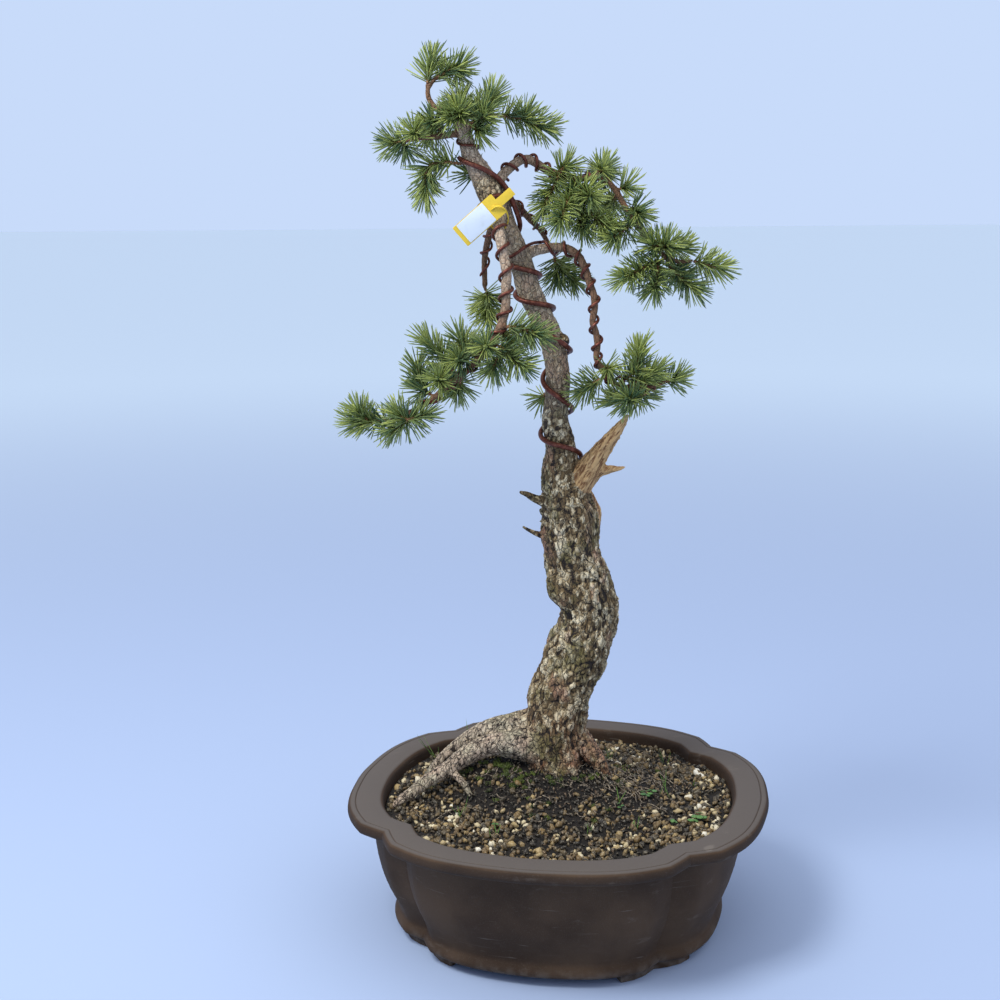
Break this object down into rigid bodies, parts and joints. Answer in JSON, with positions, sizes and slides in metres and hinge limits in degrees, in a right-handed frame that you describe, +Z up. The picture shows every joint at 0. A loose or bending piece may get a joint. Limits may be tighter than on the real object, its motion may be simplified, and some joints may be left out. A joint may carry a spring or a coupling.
{
  "type": "scots pine bonsai",
  "caption": "Old pine trained as a small tree, its bare bent trunk rising from a low four-lobed stoneware pot to short wired branches with needle tufts, and a blank plastic tag.",
  "frame": {"origin": "on the ground under the middle of the pot", "axes": "+Z up, +X to the tree's right as seen from its front, +Y away from the front"},
  "size_m": [0.4554, 0.4506, 0.9293],
  "materials": {
    "stoneware": "unglazed brown stoneware, matt",
    "soil": "moist granular mix of lava, pumice and fired clay with humus",
    "bark": "flaky grey bark with pale dead wood",
    "bonsai_wire": "copper-brown anodised, satin",
    "tag_plastic": "yellow, satin",
    "label_paper": "plain white",
    "needles": "waxy green pine needles"
  },
  "bodies": {
    "root": {"pot": "stoneware", "soil": "soil", "tree": "bark", "wire_trunk": "bonsai_wire", "wire_anchor": "bonsai_wire", "wire_leader": "bonsai_wire", "wire_upper_right": "bonsai_wire", "wire_cascade": "bonsai_wire", "wire_front_branch": "bonsai_wire", "wire_back_branch": "bonsai_wire", "wire_back_left": "bonsai_wire", "tag": "tag_plastic", "tag_label": "label_paper", "needles_leader_tip": "needles", "needles_top_right": "needles", "needles_apex_front": "needles", "needles_apex_up": "needles", "needles_apex_right": "needles", "needles_apex_under": "needles", "needles_right_twig_end": "needles", "needles_left_near": "needles", "needles_left_front": "needles", "needles_left_tip": "needles", "needles_hanging": "needles", "needles_trunk_left": "needles", "needles_apex_back": "needles", "needles_right_top": "needles", "needles_right_face": "needles", "needles_right_fan": "needles", "needles_right_high": "needles", "needles_right_side": "needles", "needles_right_low": "needles", "needles_right_back": "needles", "needles_right_inner": "needles", "needles_right_upper": "needles", "needles_right_tip": "needles", "needles_right_faces": "needles", "needles_right_under": "needles", "needles_back_pad": "needles", "needles_cascade_small": "needles", "needles_cascade_left": "needles", "needles_cascade_up": "needles", "needles_cascade_mid": "needles", "needles_cascade_tip": "needles", "needles_cascade_low": "needles", "needles_left_crown": "needles", "needles_left_big": "needles", "needles_left_end": "needles", "needles_left_end_side": "needles", "needles_trunk_front": "needles", "needles_trunk_low": "needles", "needles_left_high": "needles", "needles_left_mid": "needles", "needles_left_side": "needles", "needles_left_low": "needles", "needles_left_back": "needles", "needles_left_inner": "needles", "needles_back_left": "needles", "needles_trunk_behind": "needles"}
  },
  "joints": []
}
